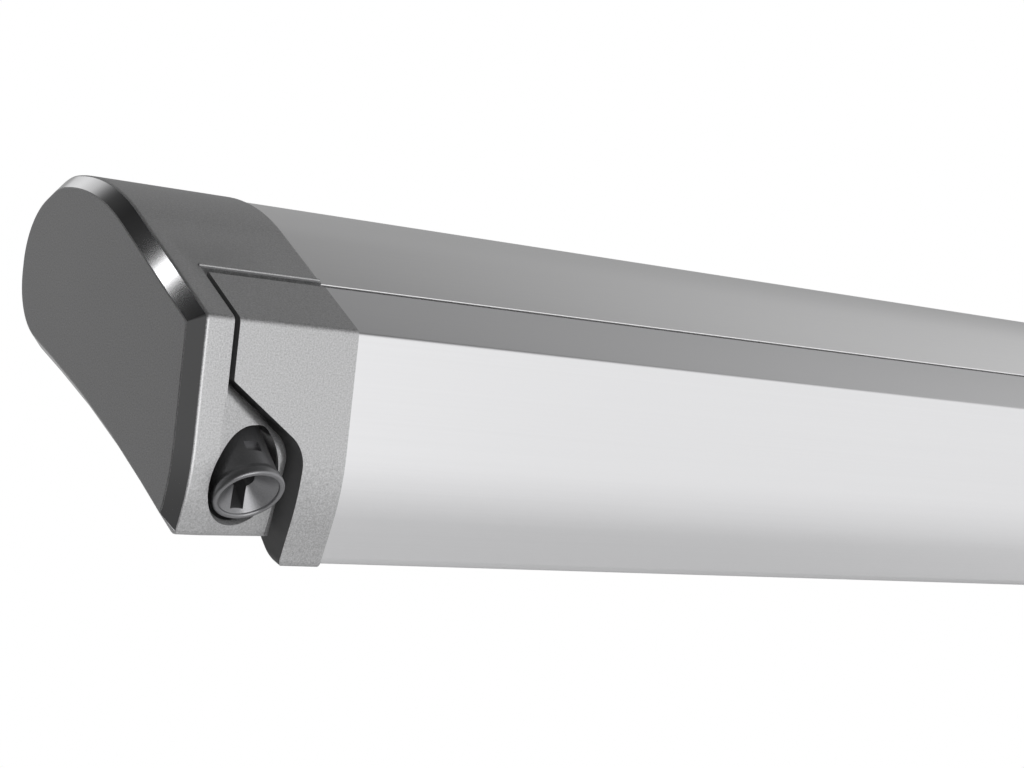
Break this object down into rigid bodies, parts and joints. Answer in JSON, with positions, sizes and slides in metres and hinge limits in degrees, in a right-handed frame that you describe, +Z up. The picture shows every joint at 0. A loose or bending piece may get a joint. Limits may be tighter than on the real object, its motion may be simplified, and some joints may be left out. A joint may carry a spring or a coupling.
{
  "type": "roll out awning",
  "caption": "Cassette awning with rounded aluminium case, grey end caps, fabric roller with crank drive, folding arms and stowed legs; the front rail pulls the fabric out over a camper's side.",
  "frame": {"origin": "middle of the flat underside that sits on the vehicle", "axes": "X along the awning with the crank at -X, -Y to the front where the lead rail travels out, +Z up; the awning is closed"},
  "size_m": [2.6, 0.2258, 0.1875],
  "materials": {
    "anodised_aluminium": "satin anodised, fine lines along the extrusion",
    "cap_plastic": "metallic grey, fine grain",
    "bell_plastic": "dark grey moulded plastic, half gloss",
    "dark_plastic": "black moulded plastic",
    "cast_aluminium": "cast, light blast texture",
    "steel": "zinc plated",
    "pale_plastic": "natural plastic",
    "seal_rubber": "matt rubber",
    "foot_rubber": "matt rubber",
    "fabric": "coated weave"
  },
  "bodies": {
    "case": {"case_profile": "anodised_aluminium", "left_end_cap": "cap_plastic", "right_end_cap": "cap_plastic", "left_side_plate": "cast_aluminium", "right_side_plate": "cast_aluminium", "plate_screws": "steel", "mount_inserts": "steel", "roof_seal": "seal_rubber", "gearbox_body": "dark_plastic", "gearbox_cover": "dark_plastic", "idler_bush": "pale_plastic", "fabric_run": "fabric", "shoulder_pins": "steel", "shoulder_screws": "steel", "left_shoulder_bracket": "cast_aluminium", "right_shoulder_bracket": "cast_aluminium"},
    "roller": {"roller_tube": "anodised_aluminium", "drive_plug": "dark_plastic", "idler_plug": "dark_plastic", "fabric_roll": "fabric"},
    "crank": {"crank_shaft": "steel", "crank_bell": "bell_plastic"},
    "hem": {"fabric_hem": "fabric"},
    "left_upper_arm": {"left_shoulder_knuckle": "cast_aluminium", "left_upper_tube": "anodised_aluminium", "left_elbow_fork": "cast_aluminium", "left_elbow_pin": "steel"},
    "left_fore_arm": {"left_elbow_knuckle": "cast_aluminium", "left_fore_tube": "anodised_aluminium", "left_wrist_knuckle": "cast_aluminium", "left_spring": "steel"},
    "lead": {"lead_rail": "anodised_aluminium", "left_lead_cap": "cap_plastic", "right_lead_cap": "cap_plastic", "keder_rod": "pale_plastic", "wrist_pins": "steel", "leg_brackets": "dark_plastic", "leg_pins": "steel", "left_wrist_bracket": "cast_aluminium", "right_wrist_bracket": "cast_aluminium"},
    "right_upper_arm": {"right_shoulder_knuckle": "cast_aluminium", "right_upper_tube": "anodised_aluminium", "right_elbow_fork": "cast_aluminium", "right_elbow_pin": "steel"},
    "right_fore_arm": {"right_elbow_knuckle": "cast_aluminium", "right_fore_tube": "anodised_aluminium", "right_wrist_knuckle": "cast_aluminium", "right_spring": "steel"},
    "left_leg": {"left_leg_outer": "anodised_aluminium", "left_leg_collar": "dark_plastic"},
    "left_leg_slide": {"left_leg_inner": "anodised_aluminium"},
    "left_foot": {"left_leg_foot": "foot_rubber"},
    "left_lever": {"left_leg_lever": "dark_plastic"},
    "right_leg": {"right_leg_outer": "anodised_aluminium", "right_leg_collar": "dark_plastic"},
    "right_leg_slide": {"right_leg_inner": "anodised_aluminium"},
    "right_foot": {"right_leg_foot": "foot_rubber"},
    "right_lever": {"right_leg_lever": "dark_plastic"}
  },
  "joints": [
    {"name": "left_shoulder", "type": "hinge", "parent": "case", "child": "left_upper_arm", "pos_m": [-1.157, -0.007, 0.037], "axis": [0, 0.2588, -0.9659], "range_deg": [0, 75]},
    {"name": "left_elbow", "type": "hinge", "parent": "left_upper_arm", "child": "left_fore_arm", "pos_m": [-0.0974, -0.03598, 0.02924], "axis": [0, 0.2588, -0.9659], "range_deg": [-150, 0]},
    {"name": "left_wrist", "type": "hinge", "parent": "left_fore_arm", "child": "lead", "pos_m": [-1.157, -0.06496, 0.02147], "axis": [0, 0.2588, -0.9659], "range_deg": [0, 75]},
    {"name": "right_shoulder", "type": "hinge", "parent": "case", "child": "right_upper_arm", "pos_m": [1.157, -0.007, 0.037], "axis": [0, 0.2588, -0.9659], "range_deg": [-75, 0]},
    {"name": "right_elbow", "type": "hinge", "parent": "right_upper_arm", "child": "right_fore_arm", "pos_m": [0.0974, -0.03598, 0.02924], "axis": [0, 0.2588, -0.9659], "range_deg": [0, 150]},
    {"name": "roller_turn", "type": "hinge", "parent": "case", "child": "roller", "pos_m": [0, 0.0637, 0.07647], "axis": [1, 0, 0], "range_deg": [0, 4110]},
    {"name": "crank_turn", "type": "hinge", "parent": "case", "child": "crank", "pos_m": [-1.2622, -0.0998, -0.022], "axis": [0, 0.7071, 0.7071], "range_deg": [0, 28770]},
    {"name": "hem_travel", "type": "slide", "parent": "case", "child": "hem", "axis": [0, -0.9659, -0.2588], "range_m": [0, 2.00253], "deforming": ["fabric_run"]},
    {"name": "left_leg_swing", "type": "hinge", "parent": "lead", "child": "left_leg", "pos_m": [-1.178, -0.0757, -0.0482], "axis": [0, 1, 0], "range_deg": [0, 95]},
    {"name": "left_leg_length", "type": "slide", "parent": "left_leg", "child": "left_leg_slide", "axis": [1, 0, 0], "range_m": [0, 0.9]},
    {"name": "left_foot_tilt", "type": "hinge", "parent": "left_leg_slide", "child": "left_foot", "pos_m": [-0.068, -0.0757, -0.0482], "axis": [0, 1, 0], "range_deg": [0, 80]},
    {"name": "left_lever_swing", "type": "hinge", "parent": "left_leg", "child": "left_lever", "pos_m": [-0.112, -0.0757, -0.0594], "axis": [0, 1, 0], "range_deg": [0, 90]},
    {"name": "right_leg_swing", "type": "hinge", "parent": "lead", "child": "right_leg", "pos_m": [1.178, -0.0565, -0.0482], "axis": [0, -1, 0], "range_deg": [0, 95]},
    {"name": "right_leg_length", "type": "slide", "parent": "right_leg", "child": "right_leg_slide", "axis": [-1, 0, 0], "range_m": [0, 0.9]},
    {"name": "right_foot_tilt", "type": "hinge", "parent": "right_leg_slide", "child": "right_foot", "pos_m": [0.068, -0.0565, -0.0482], "axis": [0, -1, 0], "range_deg": [0, 80]},
    {"name": "right_lever_swing", "type": "hinge", "parent": "right_leg", "child": "right_lever", "pos_m": [0.112, -0.0565, -0.0594], "axis": [0, -1, 0], "range_deg": [0, 90]}
  ],
  "couplings": [
    {"joint": "left_elbow", "follows": "left_shoulder", "ratio": -2},
    {"joint": "left_wrist", "follows": "left_shoulder", "ratio": 1},
    {"joint": "right_shoulder", "follows": "left_shoulder", "ratio": -1},
    {"joint": "right_elbow", "follows": "left_shoulder", "ratio": 2},
    {"joint": "roller_turn", "follows": "left_shoulder", "ratio": 54.72},
    {"joint": "crank_turn", "follows": "left_shoulder", "ratio": 383.04},
    {"joint": "hem_travel", "follows": "left_shoulder", "m_per_rad": 1.5298}
  ]
}
